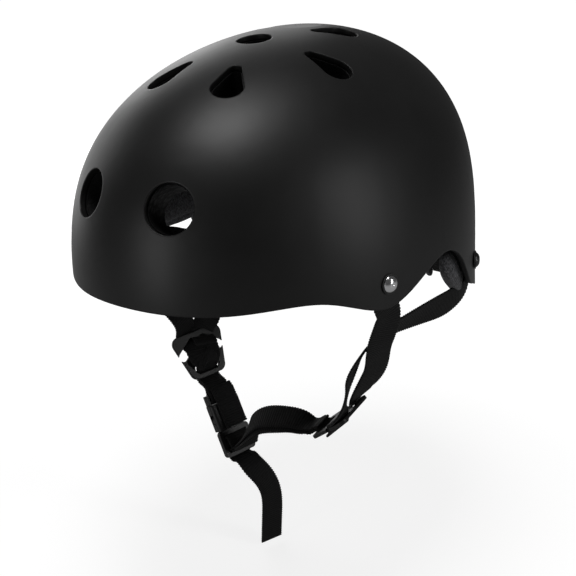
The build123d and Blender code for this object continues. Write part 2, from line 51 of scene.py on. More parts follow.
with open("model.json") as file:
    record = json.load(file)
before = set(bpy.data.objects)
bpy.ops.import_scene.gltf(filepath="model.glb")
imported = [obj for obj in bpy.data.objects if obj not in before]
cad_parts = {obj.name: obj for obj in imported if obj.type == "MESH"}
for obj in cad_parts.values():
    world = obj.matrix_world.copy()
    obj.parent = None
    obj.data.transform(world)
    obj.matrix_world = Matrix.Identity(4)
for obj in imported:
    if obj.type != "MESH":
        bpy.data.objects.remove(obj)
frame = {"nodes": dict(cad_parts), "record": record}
cad_low, cad_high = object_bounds()
nodes = frame["nodes"]

# Camera fitted to the photograph, whose side is image_side pixels
image_side = 576
camera_azimuth, camera_elevation, camera_roll = 37.3745, 20.4266, -0.9526
camera_distance = 576.71
camera_focal_pixels = 966.31
camera_aim_right, camera_aim_up = -1.2535, -33.6857
sensor_width = 36.0
nearest_seen = 0.01

# Dome of the shell, as in the part's source
half_width, front_length, rear_length = 105.0, 141.0, 124.6
shell_rise, crown_shift = 118.5, 15.0
side_power, front_power, rear_power = 2.73, 3.0, 2.9
side_taper, front_taper, rear_taper = 0.078, 0.004, 0.026

# Rivets, dividers, buckle and webbing, as in the part's source
front_rivet_forward, front_rivet_level = 47.4, 1.7
rear_rivet_back, rear_rivet_level = 52.0, -13.8
strap_depth = 4.65
strap_width, strap_thickness = 16.0, 1.5
strap_end_length = 9.0
strap_end_shares = (-1.0, -0.4, 0.3, 0.95)
strap_hold_share = 0.12
layer_shift, layer_gap = 0.9, 0.1
divider_slot_height = 6.0
# Where the webbing lies in an upper slot, by whether it is the left divider: how far out and up, and its slope
slot_places = {True: (8.8, 5.2, 35.0), False: (4.2, 7.9, 10.0)}
foot_slot_height, foot_slot_drop = 6.8, 8.6
slot_bend, foot_bend = 2.2, 3.25
slot_bend_shares = (
    (0.80, 1.0), (0.43, 0.90), (0.20, 0.53), (0.0, 0.0), (-0.20, -0.53), (-0.43, -0.90), (-0.60, -1.0),
)
foot_bend_shares = ((-0.22, 0.70), (-0.55, 0.97), (-1.1, 1.0))
left_divider_centre = Vector((54.0, -27.0, -97.0))
right_divider_centre = Vector((-54.0, -23.3, -84.7))
buckle_centre = Vector((-28.5, -26.8, -127.8))
left_divider_across, left_divider_down = (-0.17, 0.98, 0.03), (-0.75, -0.11, -0.65)
right_divider_across, right_divider_down = (0.25, 0.96, 0.08), (0.45, -0.07, -0.89)
buckle_across, buckle_down = (0.25, 0.96, 0.08), (0.45, -0.09, -0.885)
socket_top = 23.8
ladder_slot_middle, ladder_foot = -13.2, -18.0
plug_half_thickness = 1.8
chin_end_rise, chin_end_gap = 6.6, 1.5
loop_end_rises = (4.4, 1.0)
tail_start_gap, tail_start_rise = 3.0, 3.05
tail_drop = 205.0

# Places along the straps: shares of the half width, of the front length and of the drop to the divider
front_left_route_shares = (
    (0.895, -0.287, -0.168), (0.819, -0.245, -0.408), (0.724, -0.171, -0.642), (0.619, -0.140, -0.822),
)
rear_left_route_shares = (
    (0.886, 0.350, -0.271), (0.872, 0.265, -0.348), (0.857, 0.126, -0.356), (0.800, -0.065, -0.375),
    (0.735, -0.180, -0.435), (0.672, -0.232, -0.560), (0.629, -0.243, -0.720),
)
front_right_route_shares = ((-0.824, -0.309, -0.224), (-0.733, -0.277, -0.472), (-0.578, -0.222, -0.740))
rear_right_route_shares = (
    (-0.870, 0.310, -0.308), (-0.780, 0.200, -0.450), (-0.680, 0.030, -0.610), (-0.563, -0.085, -0.780),
)
chin_route_shares = (
    (0.286, -0.222, -1.080), (0.171, -0.245, -1.085), (0.040, -0.262, -1.130), (-0.060, -0.262, -1.250),
)
tail_route_shares = (
    (-0.100, -0.209, -0.719), (-0.045, -0.190, -0.754), (-0.012, -0.162, -0.810), (-0.011, -0.152, -0.907),
    (-0.022, -0.151, -1.0),
)

# Webbing over the dividers' other faces: how far apart, how high and how low it runs, and how deep in the foot slot
bridge_spread, bridge_rise, bridge_end_drop, bridge_hole_share = 3.6, -1.6, 5.6, 0.92

# Turns of the webbing round the socket's top bar, the ladder's middle bar and the ladder's foot bar:
# how far up the buckle from its mark, and how far to its inner face
socket_turn = (
    (3.4, 0.9), (0.9, 1.7), (-1.4, 2.35), (-4.4, 1.8), (-5.9, 0.0), (-4.4, -1.8), (-1.4, -2.35), (0.9, -1.7),
    (3.4, -0.9),
)
ladder_turn = (
    (-13.0, 3.6), (-13.2, 1.2), (-12.9, -1.2), (-11.8, -2.8), (-9.3, -3.3), (-6.6, -2.8), (-5.0, -1.2), (-4.9, 1.2),
    (-6.4, 3.0), (-9.3, 3.9), (-12.0, 4.6),
)
tail_turn = ((4.6, 2.4), (4.7, 0.0), (4.0, -2.1), (2.0, -3.1), (-0.2, -3.0), (-2.0, -1.6), (-2.8, 0.6))
tail_bar_share = 0.16

# Loose end of the buckle's webbing over the socket's inner face, given as the turns are, and its place across
socket_flap = ((27.5, 2.6), (25.0, 4.0), (21.0, 4.9), (16.0, 5.3), (10.0, 5.2), (4.5, 5.5), (0.5, 6.3))
flap_side = 1.2

# How far the right rear strap is shifted through its thickness, so that it crosses the front one without cutting it
crossing_lift = -1.7

# The near front strap and the chin strap turn their faces between their ends, and the chin strap's layers slip apart
front_left_turn = Vector((0.48, -0.78, 0.40)) * 0.7
chin_turn = Vector((-0.10, 0.90, -0.43)) * 0.9
chin_slip = -1.8

# Pads: remesh size, cloth pressure and stiffness, frames run, most swelling, the point that they swell toward, and
# the sewn line round them
pad_voxel, pad_pressure, pad_stiffness, pad_frames, pad_swell = 2.8, 4.0, 8.0, 20, 4.0
pad_centre = (0.0, 0.0, -20.0)
seam_inset, seam_width, seam_depth = 5.0, 1.3, 0.9

# Lift of the rear pad toward its front ends: where it starts, over what length it grows and how high it gets
pad_end_start, pad_end_length, pad_end_lift = 50.0, 18.0, 7.0

# The rear pad's ends in the ear notches: middle (back and level), slope, sag, half sizes, depth behind the skin, sewn
# edge and its sharpness, roundness of the section, and the two powers and the least size of the rounded ends
lobe_middle, lobe_slope, lobe_sag = (41.5, -17.0), 0.62, 1.5
lobe_half_length, lobe_half_height, lobe_half_thickness = 23.0, 9.8, 4.6
lobe_depth, lobe_seam, lobe_seam_power = 10.2, 0.10, 40
lobe_roundness = 0.8
lobe_end_power, lobe_end_root, lobe_end_share = 3.2, 2.4, 0.02
lobe_rows, lobe_columns = 48, 32

# Webbing's woven relief: crosswise ribs, the notches that they leave along the edges, and the rounded cross-section
rib_pitch, rib_depth, samples_per_rib = 1.55, 0.22, 6
edge_notch, notch_power = 0.42, 8
edge_round = 0.45
flat_shares = (0.75, 0.35)
shoulder_inset, shoulder_height, shoulder_relief = 0.2, 0.6, 0.5

# Points per stretch of a route, from which its even steps are found
fine_points_per_span = 60

# Floor: size, gap below the part, colour, how white it is to the camera by distance, and its share in reflections
floor_half, floor_gap = 6.0, 0.001
floor_colour = (0.28, 0.28, 0.28, 1)
glow_reach, glow_range = (0.3, 0.8), (0.80, 1.0)
mirrored_share = 0.14

# Surroundings: their colour, and how strongly they light the part
surroundings_colour, surroundings_light = (1, 1, 1, 1), 0.08

# Soft studio lights: place, width, height and power of each
lamp_rows = (
    ("overhead", (0.02, -0.20, 1.20), 0.55, 0.45, 9.0),
    ("left_strip", (1.08, 0.20, 0.30), 0.22, 0.80, 3.2),
    ("front_strip", (-0.10, -1.10, 0.02), 0.20, 0.60, 2.6),
    ("right_panel", (-1.15, 0.30, 0.10), 1.30, 1.20, 5.6),
    ("back_panel", (-0.95, 0.80, 0.50), 0.80, 0.70, 2.4),
)


def skin_sizes(level):
    """Half width, front length, rear length and rearward shift of the shell's section at a level."""
    height = level / shell_rise
    above = min(max(height, 0), 1)
    half = half_width * sqrt(1 - above**side_power) * (1 - side_taper * height)
    front = front_length * sqrt(1 - above**front_power) * (1 - front_taper * height)
    rear = rear_length * sqrt(1 - above**rear_power) * (1 - rear_taper * height)
    return half, front, rear, crown_shift * above**2


def outside(point):
    """Above zero outside the shell's skin, below zero inside it."""
    half, front, rear, shift = skin_sizes(point.z)
    length = front if point.y < shift else rear
    return (point.x / half) ** 2 + ((point.y - shift) / length) ** 2 - 1


def skin_point(side, back, level):
    """Point of the skin at a side, for a place along the shell and a level."""
    half, front, rear, shift = skin_sizes(level)
    length = front if back < shift else rear
    return Vector((side * half * sqrt(1 - ((back - shift) / length) ** 2), back, level))


def skin_normal(point):
    """Outward direction of the skin."""
    step = shell_rise / 10000
    axes = Matrix.Identity(3)
    return Vector([outside(point + axis * step) - outside(point - axis * step) for axis in axes]).normalized()


def place_axes(across, down):
    """Directions of a hard piece on the harness: across the strap, up the strap and its face."""
    across = Vector(across).normalized()
    up = -Vector(down)
    up = (up - across * up.dot(across)).normalized()
    return across, up, across.cross(up)


left_axes = place_axes(left_divider_across, left_divider_down)
right_axes = place_axes(right_divider_across, right_divider_down)
buckle_axes = place_axes(buckle_across, buckle_down)
left_inner = -left_axes[2]
right_inner = right_axes[2]
right_behind = -right_inner


def harness_points(shares, drop):
    """Route points from shares of the half width, of the front length and of a drop."""
    return [Vector((x * half_width, y * front_length, z * drop)) for x, y, z in shares]


def rivet_points(side, back, level):
    """Route points of a strap's end behind the shell, and the direction that it faces there."""
    skin = skin_point(side, back, level)
    normal = skin_normal(skin)
    down = Vector((0, 0, -1))
    down = (down - normal * down.dot(normal)).normalized()
    points = [skin - normal * strap_depth + down * strap_end_length * share for share in strap_end_shares]
    return points, normal


def slot_points(centre, axes, inner, slot_side):
    """Route points over a divider's inner face and out through one upper slot."""
    across, up, _ = axes
    spread, rise, degrees = slot_places[centre.x > 0]
    slope = radians(degrees)
    up_strap = across * slot_side * sin(slope) + up * cos(slope)
    slot = centre + across * slot_side * spread + up * rise
    return [
        slot + up_strap * divider_slot_height * along + inner * slot_bend * inward for along, inward in slot_bend_shares
    ]


def foot_points(centre, axes, inner):
    """Route points of doubled webbing as it leaves a divider's foot slot on the inner face."""
    slot = centre - axes[1] * foot_slot_drop
    return [
        slot + axes[1] * foot_slot_height * along + inner * foot_bend * inward for along, inward in foot_bend_shares
    ]


def on_buckle(across, up, inward):
    """A point given along the buckle's own directions."""
    return buckle_centre + buckle_axes[0] * across + buckle_axes[1] * up + buckle_axes[2] * inward


def smooth_route(points, step):
    """Evenly spaced places and directions on one smooth curve through the points."""
    places = numpy.array([tuple(point) for point in points])
    spans = numpy.linalg.norm(numpy.diff(places, axis=0), axis=1)
    knots = numpy.concatenate([[0.0], numpy.cumsum(spans)])
    count = len(places)
    system = numpy.eye(count)
    wanted = numpy.zeros((count, 3))
    for index in range(1, count - 1):
        before, after = spans[index - 1], spans[index]
        system[index, index - 1:index + 2] = before, 2 * (before + after), after
        rise = (places[index + 1] - places[index]) / after - (places[index] - places[index - 1]) / before
        wanted[index] = 6 * rise
    bends = numpy.linalg.solve(system, wanted)
    fine = numpy.linspace(0, knots[-1], count * fine_points_per_span)
    spots = numpy.clip(numpy.searchsorted(knots, fine) - 1, 0, count - 2)
    span = spans[spots][:, None]
    ahead = (knots[spots + 1] - fine)[:, None]
    behind = (fine - knots[spots])[:, None]
    line = bends[spots] * ahead**3 / (6 * span) + bends[spots + 1] * behind**3 / (6 * span)
    line = line + (places[spots] / span - bends[spots] * span / 6) * ahead
    line = line + (places[spots + 1] / span - bends[spots + 1] * span / 6) * behind
    walked = numpy.concatenate([[0.0], numpy.cumsum(numpy.linalg.norm(numpy.diff(line, axis=0), axis=1))])
    even = numpy.linspace(0, walked[-1], max(round(walked[-1] / step), 2) + 1)
    route = numpy.stack([numpy.interp(even, walked, line[:, axis]) for axis in range(3)], 1)
    along = numpy.gradient(route, even, axis=0)
    along = along / numpy.linalg.norm(along, axis=1)[:, None]
    return route, along, even


def make_object(name, points, faces, coordinates=None):
    """Mesh object in metres from points in millimetres, with weave coordinates per point if given."""
    mesh = bpy.data.meshes.new(name)
    mesh.from_pydata([tuple(float(value) * millimetre for value in point) for point in points], [], faces)
    mesh.update()
    if coordinates is not None:
        layer = mesh.uv_layers.new(name="weave")
        spots = numpy.zeros(len(mesh.loops), int)
        mesh.loops.foreach_get("vertex_index", spots)
        layer.data.foreach_set("uv", numpy.array(coordinates, float)[spots].ravel())
    mesh.polygons.foreach_set("use_smooth", [True] * len(mesh.polygons))
    piece = bpy.data.objects.new(name, mesh)
    bpy.context.scene.collection.objects.link(piece)
    return piece


def band_section():
    """Outline of the webbing's cross-section: across and through, with its share of rib relief."""
    half, thick = strap_width / 2, strap_thickness / 2
    outer, inner = (half * share for share in flat_shares)
    across = [-half + edge_round, -outer, -inner, 0.0, inner, outer, half - edge_round]
    top = [(place, thick, 1.0) for place in across]
    shoulder, high = half - edge_round * shoulder_inset, thick * shoulder_height
    side = [(shoulder, high, shoulder_relief), (half, 0.0, 0.0), (shoulder, -high, shoulder_relief)]
    bottom = [(-place, -thick, 1.0) for place in across]
    other = [(-x, -y, relief) for x, y, relief in side]
    return top + side + bottom + other


def webbing(
    name, points, start_facing, end_facing, shift=0.0, slip=0.0, turned_facing=None, bar=None, bar_share=0.0,
):
    """Woven band along a route, with a rounded section, crosswise ribs and a notched edge.

    Its face goes from one facing to the other, by way of turned_facing if given. A band round a bar keeps its width
    along the bar up to bar_share of its length and loses it by twice that. The band is shifted through its thickness
    and slips sideways in its middle."""
    route, along, walked = smooth_route(points, rib_pitch / samples_per_rib)
    length = walked[-1]
    section = band_section()
    mesh_points, coordinates = [], []
    for place, direction, distance in zip(route, along, walked):
        share = distance / length
        turned = min(max((share - strap_hold_share) / (1 - 2 * strap_hold_share), 0), 1)
        facing = start_facing + (end_facing - start_facing) * turned
        if turned_facing is not None:
            facing = facing + turned_facing * 4 * turned * (1 - turned)
        direction = Vector(direction)
        across = facing.cross(direction)
        if bar is not None:
            held = min(max(2 - share / bar_share, 0), 1)
            across = across * (1 - held) + bar * held
            across = across - direction * direction.dot(across)
        across = across.normalized()
        through = direction.cross(across)
        wave = 0.5 + 0.5 * cos(2 * pi * distance / rib_pitch)
        middle = Vector(place) + through * shift + across * slip * sin(pi * share)
        for x, y, relief in section:
            low = rib_depth * wave * relief * (1 if y > 0 else -1)
            reach = (abs(x) / (strap_width / 2)) ** notch_power * edge_notch * wave * (1 if x > 0 else -1)
            mesh_points.append(middle + across * (x - reach) + through * (y - low))
            coordinates.append(((x + strap_width / 2) * millimetre, distance * millimetre))
    ring = len(section)
    faces = []
    for row in range(len(route) - 1):
        for column in range(ring):
            here, there = row * ring + column, row * ring + (column + 1) % ring
            faces.append((here, there, there + ring, here + ring))
    last = (len(route) - 1) * ring
    faces.append(tuple(reversed(range(ring))))
    faces.append(tuple(range(last, last + ring)))
    return make_object(name, mesh_points, faces, coordinates)


def adder(tree):
    """Short way to add nodes to a node tree, which is emptied: links into the node, then its inputs and settings."""
    tree.nodes.clear()

    def add(kind, links=(), **values):
        node = tree.nodes.new("ShaderNode" + kind)
        for key, value in values.items():
            key = key.replace("_", " ")
            if key in node.inputs:
                node.inputs[key].default_value = value
            else:
                setattr(node, key.replace(" ", "_"), value)
        for source, target in links:
            tree.links.new(source, node.inputs[target])
        return node

    return add


def node_tree(name):
    """New material with a principled shader, and a short way to add nodes to it."""
    material = bpy.data.materials.new(name)
    material.use_nodes = True
    tree = material.node_tree
    add = adder(tree)
    shader = add("BsdfPrincipled")
    add("OutputMaterial", [(shader.outputs["BSDF"], "Surface")])
    return material, tree, shader, add


def shades(add, source, dark, light, low=0.3, high=0.7):
    """Colour ramp between two colours over part of a texture's values."""
    ramp = add("ValToRGB", [(source, "Fac")])
    ramp.color_ramp.elements[0].position = low
    ramp.color_ramp.elements[0].color = (*dark, 1)
    ramp.color_ramp.elements[1].position = high
    ramp.color_ramp.elements[1].color = (*light, 1)
    return ramp.outputs["Color"]


def finish(add, tree, shader, colour, roughness, height, bump_distance, bump_strength):
    """Join a colour, a roughness and a bump height to the shader."""
    tree.links.new(colour, shader.inputs["Base Color"])
    tree.links.new(roughness, shader.inputs["Roughness"])
    bump = add("Bump", [(height, "Height")], Distance=bump_distance, Strength=bump_strength)
    tree.links.new(bump.outputs["Normal"], shader.inputs["Normal"])
    return bump


def span(add, source, low, high):
    """A texture's values brought into a range."""
    return add("MapRange", [(source, "Value")], To_Min=low, To_Max=high).outputs["Result"]


def plain_material(name, dark, light, rough, grain, bump_distance, bump_strength, metallic=0.0, specular=0.5, edge=0.0):
    """Moulded or turned surface with fine grain, faint changes of colour and gloss, and softened edges."""
    material, tree, shader, add = node_tree(name)
    place = add("TexCoord").outputs["Object"]
    broad = add("TexNoise", [(place, "Vector")], Scale=28.0, Detail=4.0).outputs["Fac"]
    fine = add("TexNoise", [(place, "Vector")], Scale=grain, Detail=3.0).outputs["Fac"]
    colour = shades(add, broad, dark, light)
    roughness = span(add, broad, rough - 0.05, rough + 0.05)
    bump = finish(add, tree, shader, colour, roughness, fine, bump_distance, bump_strength)
    if edge:
        softened = add("Bevel", Radius=edge, samples=8).outputs["Normal"]
        tree.links.new(softened, bump.inputs["Normal"])
    shader.inputs["Metallic"].default_value = metallic
    shader.inputs["Specular IOR Level"].default_value = specular
    return material


def foam_material():
    """Moulded bead foam: flat round beads with fine dark seams."""
    material, tree, shader, add = node_tree("foam_beads")
    place = add("TexCoord").outputs["Object"]
    beads = add("TexVoronoi", [(place, "Vector")], Scale=330.0, feature="F1").outputs["Distance"]
    seams = add("TexVoronoi", [(place, "Vector")], Scale=330.0, feature="DISTANCE_TO_EDGE").outputs["Distance"]
    colour = shades(add, seams, (0.0015, 0.0015, 0.0015), (0.005, 0.005, 0.0052), low=0.0, high=0.12)
    roughness = span(add, beads, 0.5, 0.75)
    finish(add, tree, shader, colour, roughness, seams, bump_distance=0.0006, bump_strength=0.6)
    shader.inputs["Specular IOR Level"].default_value = 0.15
    return material


def webbing_material():
    """Black woven webbing: warp threads along the band, with the mesh's own crosswise ribs."""
    material, tree, shader, add = node_tree("black_webbing")
    weave = add("UVMap", uv_map="weave").outputs["UV"]
    warp = add("TexWave", [(weave, "Vector")], Scale=420.0, Distortion=0.6, bands_direction="X").outputs["Fac"]
    place = add("TexCoord").outputs["Object"]
    fuzz = add("TexNoise", [(place, "Vector")], Scale=900.0, Detail=4.0).outputs["Fac"]
    mixed = add("Math", [(warp, 0), (fuzz, 1)], operation="MULTIPLY").outputs["Value"]
    colour = shades(add, mixed, (0.0022, 0.0022, 0.0022), (0.0085, 0.0085, 0.0088), low=0.1, high=0.7)
    roughness = span(add, fuzz, 0.62, 0.85)
    finish(add, tree, shader, colour, roughness, mixed, bump_distance=0.0004, bump_strength=0.5)
    shader.inputs["Specular IOR Level"].default_value = 0.22
    shader.inputs["Sheen Weight"].default_value = 0.04
    shader.inputs["Sheen Roughness"].default_value = 0.5
    return material


def knit_material():
    """Grey heathered knit over the pads."""
    material, tree, shader, add = node_tree("heathered_knit")
    place = add("TexCoord").outputs["Object"]
    flecks = add("TexNoise", [(place, "Vector")], Scale=620.0, Detail=6.0, Roughness=0.75).outputs["Fac"]
    rows = add("TexWave", [(place, "Vector")], Scale=330.0, Distortion=3.0, bands_direction="Z")
    columns = add("TexWave", [(place, "Vector")], Scale=330.0, Distortion=3.0, bands_direction="DIAGONAL")
    both = [(rows.outputs["Fac"], 0), (columns.outputs["Fac"], 1)]
    knit = add("Math", both, operation="MULTIPLY").outputs["Value"]
    colour = shades(add, flecks, (0.022, 0.022, 0.024), (0.17, 0.17, 0.18), low=0.40, high=0.66)
    roughness = span(add, flecks, 0.8, 0.95)
    finish(add, tree, shader, colour, roughness, knit, bump_distance=0.0006, bump_strength=0.5)
    shader.inputs["Specular IOR Level"].default_value = 0.2
    shader.inputs["Sheen Weight"].default_value = 0.25
    shader.inputs["Sheen Roughness"].default_value = 0.4
    return material


def hook_material():
    """Hook tape: close rows of tiny hooks."""
    material, tree, shader, add = node_tree("hook_tape")
    place = add("TexCoord").outputs["Object"]
    hooks = add("TexVoronoi", [(place, "Vector")], Scale=900.0, feature="F1").outputs["Distance"]
    colour = shades(add, hooks, (0.018, 0.018, 0.018), (0.004, 0.004, 0.004), low=0.2, high=0.6)
    roughness = span(add, hooks, 0.5, 0.8)
    finish(add, tree, shader, colour, roughness, hooks, bump_distance=0.0008, bump_strength=0.8)
    return material


def brushed_material():
    """Turned steel with fine rings of wear."""
    material, tree, shader, add = node_tree("plain_steel")
    place = add("TexCoord").outputs["Object"]
    stretch = add("Mapping", [(place, "Vector")])
    stretch.inputs["Scale"].default_value = (1, 1, 12)
    lines = add("TexNoise", [(stretch.outputs["Vector"], "Vector")], Scale=420.0, Detail=4.0).outputs["Fac"]
    colour = shades(add, lines, (0.34, 0.34, 0.35), (0.56, 0.56, 0.57))
    roughness = span(add, lines, 0.22, 0.45)
    finish(add, tree, shader, colour, roughness, lines, bump_distance=0.0002, bump_strength=0.25)
    shader.inputs["Metallic"].default_value = 1.0
    return material


materials = {
    "shell": plain_material(
        "matte_shell", (0.0052,) * 3, (0.0072,) * 3, rough=0.44, grain=2400.0, bump_distance=0.0001, bump_strength=0.10,
        specular=0.30, edge=0.0011,
    ),
    "foam": foam_material(),
    "pad_fabric": knit_material(),
    "hook_tape": hook_material(),
    "webbing": webbing_material(),
    "hardware": plain_material(
        "satin_plastic", (0.006,) * 3, (0.010,) * 3, rough=0.42, grain=1700.0, bump_distance=0.0001, bump_strength=0.12,
        specular=0.32, edge=0.0004,
    ),
    "rivet_chrome": plain_material(
        "polished_rivet", (0.62, 0.62, 0.63), (0.74, 0.74, 0.75), rough=0.16, grain=1500.0, bump_distance=0.00006,
        bump_strength=0.1, metallic=1.0,
    ),
    "rivet_black": plain_material(
        "black_rivet", (0.008,) * 3, (0.013,) * 3, rough=0.3, grain=1500.0, bump_distance=0.0001, bump_strength=0.1,
    ),
    "washer_steel": brushed_material(),
}
slot_of_node = {entry["node"]: entry["material_slot"] for entry in frame["record"]["subparts"]}


def dress(piece, slot_name):
    """Give a piece one of the materials, alone."""
    piece.data.materials.clear()
    piece.data.materials.append(materials[slot_name])


for name, node in nodes.items():
    dress(node, slot_of_node[name])


def stands_for(piece, node, body, slot_name):
    """A modelled piece takes a CAD node's place, on its body and with its finish."""
    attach(piece, body)
    takes_place(piece, node, slot_name)


def takes_place(piece, node, slot_name):
    """A modelled piece hides a CAD node and gets its finish."""
    dress(piece, slot_name)
    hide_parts(node)


def bends_between(piece):
    """Bake a piece's placement into its mesh points, so that it stays where it is and belongs to no body."""
    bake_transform(piece)


def applied(piece):
    """Mesh of a piece as its modifiers leave it."""
    return bpy.data.meshes.new_from_object(piece.evaluated_get(bpy.context.evaluated_depsgraph_get()))


def settle(piece, kind, **values):
    """Add one modifier to a piece, keep what it makes and take it off again."""
    modifier = piece.modifiers.new(kind.lower(), kind)
    for key, value in values.items():
        setattr(modifier, key, value)
    made = applied(piece)
    piece.modifiers.clear()
    piece.data = made


def places_of(mesh):
    """Places of a mesh's points as an array."""
    places = numpy.empty(len(mesh.vertices) * 3)
    mesh.vertices.foreach_get("co", places)
    return places.reshape(-1, 3)


def inflate(piece):
    """Swell a pad by cloth pressure, toward the head and sideways but not into the liner behind it."""
    before = places_of(piece.data)
    cloth = piece.modifiers.new("cloth", "CLOTH")
    cloth.settings.use_pressure = True
    cloth.settings.uniform_pressure_force = pad_pressure
    cloth.settings.effector_weights.gravity = 0
    cloth.settings.tension_stiffness = cloth.settings.compression_stiffness = pad_stiffness
    cloth.point_cache.frame_start, cloth.point_cache.frame_end = 1, pad_frames
    for number in range(1, pad_frames + 1):
        bpy.context.scene.frame_set(number)
    swollen = applied(piece)
    piece.modifiers.clear()
    moved = places_of(swollen) - before
    outward = before - numpy.array(pad_centre) * millimetre
    outward = outward / numpy.linalg.norm(outward, axis=1)[:, None]
    along = (moved * outward).sum(1)
    moved = moved - outward * numpy.maximum(along, 0)[:, None]
    reach = numpy.linalg.norm(moved, axis=1)
    limit = pad_swell * millimetre
    moved = moved * (limit * numpy.tanh(reach / limit) / numpy.maximum(reach, limit / 1000))[:, None]
    piece.data.vertices.foreach_set("co", (before + moved).ravel())
    bpy.context.scene.frame_set(1)


def sew(piece):
    """Press a sewn line into a pad's inner face, a little inside its edge."""
    places = places_of(piece.data)
    normals = numpy.empty(len(places) * 3)
    piece.data.vertices.foreach_get("normal", normals)
    normals = normals.reshape(-1, 3)
    inward = -places / numpy.linalg.norm(places, axis=1)[:, None]
    low, high = places.min(0), places.max(0)
    if piece.name.startswith("crown"):
        centre = (low + high) / 2
        spread = numpy.hypot(*((places - centre) / ((high - low) / 2))[:, :2].T)
        edge = (1 - spread) * (high - low)[:2].min() / 2
    else:
        turned = numpy.arctan2(places[:, 0], -places[:, 1])
        if high[1] > 0 and low[1] > -high[1]:
            turned = numpy.arctan2(places[:, 0], places[:, 1])
        radius = numpy.hypot(places[:, 0], places[:, 1])
        ends = numpy.minimum(turned - turned.min(), turned.max() - turned) * radius
        edge = numpy.minimum(ends, numpy.minimum(places[:, 2] - low[2], high[2] - places[:, 2]))
    groove = numpy.exp(-(((edge / millimetre - seam_inset) / seam_width) ** 2)) * seam_depth * millimetre
    facing = numpy.clip((normals * inward).sum(1), 0, 1)
    places = places - normals * (groove * facing)[:, None]
    piece.data.vertices.foreach_set("co", places.ravel())


def lift_ends(piece):
    """Raise the rear pad's front ends toward the height at which the shell's edge hides them in the photo."""
    for vertex in piece.data.vertices:
        share = min(max((pad_end_start - vertex.co.y / millimetre) / pad_end_length, 0.0), 1.0)
        vertex.co.z += pad_end_lift * millimetre * share * share * (3 - 2 * share)


def signed_power(value, power):
    """A number's size raised to a power, with the number's own sign."""
    return copysign(abs(value) ** power, value)


def pad_end(side):
    """Points and faces of the rear pad's end in one ear notch: a rounded bolster with a sewn edge."""
    points, faces = [], []
    upward = Vector((0, lobe_slope, 1))
    for row in range(lobe_rows + 1):
        share = row / lobe_rows * 2 - 1
        swell = max((1 - abs(share) ** lobe_end_power) ** (1 / lobe_end_root), lobe_end_share)
        back = lobe_middle[0] + lobe_half_length * share
        level = lobe_middle[1] - lobe_slope * lobe_half_length * share - lobe_sag * (1 - share**2)
        skin = skin_point(side, back, level)
        normal = skin_normal(skin)
        middle = skin - normal * lobe_depth
        up = (upward - normal * normal.dot(upward)).normalized()
        for column in range(lobe_columns):
            turn = 2 * pi * column / lobe_columns
            through = signed_power(cos(turn), lobe_roundness) * lobe_half_thickness
            tall = signed_power(sin(turn), lobe_roundness) * lobe_half_height
            seam = 1 - lobe_seam * sin(turn) ** lobe_seam_power
            points.append(middle + (normal * through + up * tall * seam) * swell)
    for row in range(lobe_rows):
        for column in range(lobe_columns):
            here, there = row * lobe_columns + column, row * lobe_columns + (column + 1) % lobe_columns
            faces.append((here, here + lobe_columns, there + lobe_columns, there)[::side])
    last = lobe_rows * lobe_columns
    faces.append(tuple(range(lobe_columns))[::side])
    faces.append(tuple(range(last, last + lobe_columns))[::-side])
    return points, faces


# Straps from the rivets to the dividers
strap_rows = (
    ("front_strap_left", 1, -front_rivet_forward, front_rivet_level, left_divider_centre, left_axes, left_inner, 1,
     front_left_route_shares, ("harness", "divider_left")),
    ("rear_strap_left", 1, rear_rivet_back, rear_rivet_level, left_divider_centre, left_axes, left_inner, -1,
     rear_left_route_shares, ("helmet", "harness")),
    ("front_strap_right", -1, -front_rivet_forward, front_rivet_level, right_divider_centre, right_axes, right_behind,
     -1, front_right_route_shares, ("harness", "divider_right")),
    ("rear_strap_right", -1, rear_rivet_back, rear_rivet_level, right_divider_centre, right_axes, right_behind, 1,
     rear_right_route_shares, ("helmet", "harness")),
)
for name, side, back, level, centre, axes, inner, slot_side, shares, bodies in strap_rows:
    points, normal = rivet_points(side, back, level)
    points = points + harness_points(shares, -centre.z) + slot_points(centre, axes, inner, slot_side)
    last_facing = inner if side < 0 else -inner
    turn = front_left_turn if name == "front_strap_left" else None
    lift = crossing_lift if name == "rear_strap_right" else 0.0
    piece = webbing(name + "_webbing", points, normal, last_facing, lift, turned_facing=turn)
    bends_between(piece)
    takes_place(piece, name, "webbing")

# Webbing over each divider's other face, from its upper slots to its foot slot
for hand, centre, axes, inner in (
    ("left", left_divider_centre, left_axes, left_inner), ("right", right_divider_centre, right_axes, right_behind),
):
    foot = foot_points(centre, axes, inner)
    for layer, (slot_side, lift) in enumerate(((1, 0.0), (-1, strap_thickness + layer_gap))):
        points = slot_points(centre, axes, inner, slot_side)[-3:-1]
        crossing = centre + axes[0] * slot_side * bridge_spread - inner * (slot_bend + lift)
        points.append(crossing + axes[1] * bridge_rise)
        points.append(centre - axes[1] * bridge_end_drop - inner * (slot_bend + lift))
        points.append(centre - axes[1] * foot_slot_drop * bridge_hole_share - inner * slot_bend * bridge_hole_share / 2)
        points.append(foot[1] + inner * layer_shift * (1 - 2 * layer))
        piece = webbing("divider_webbing_%s_%d" % (hand, layer + 1), points, -inner, -inner)
        dress(piece, "webbing")
        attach(piece, "divider_" + hand)

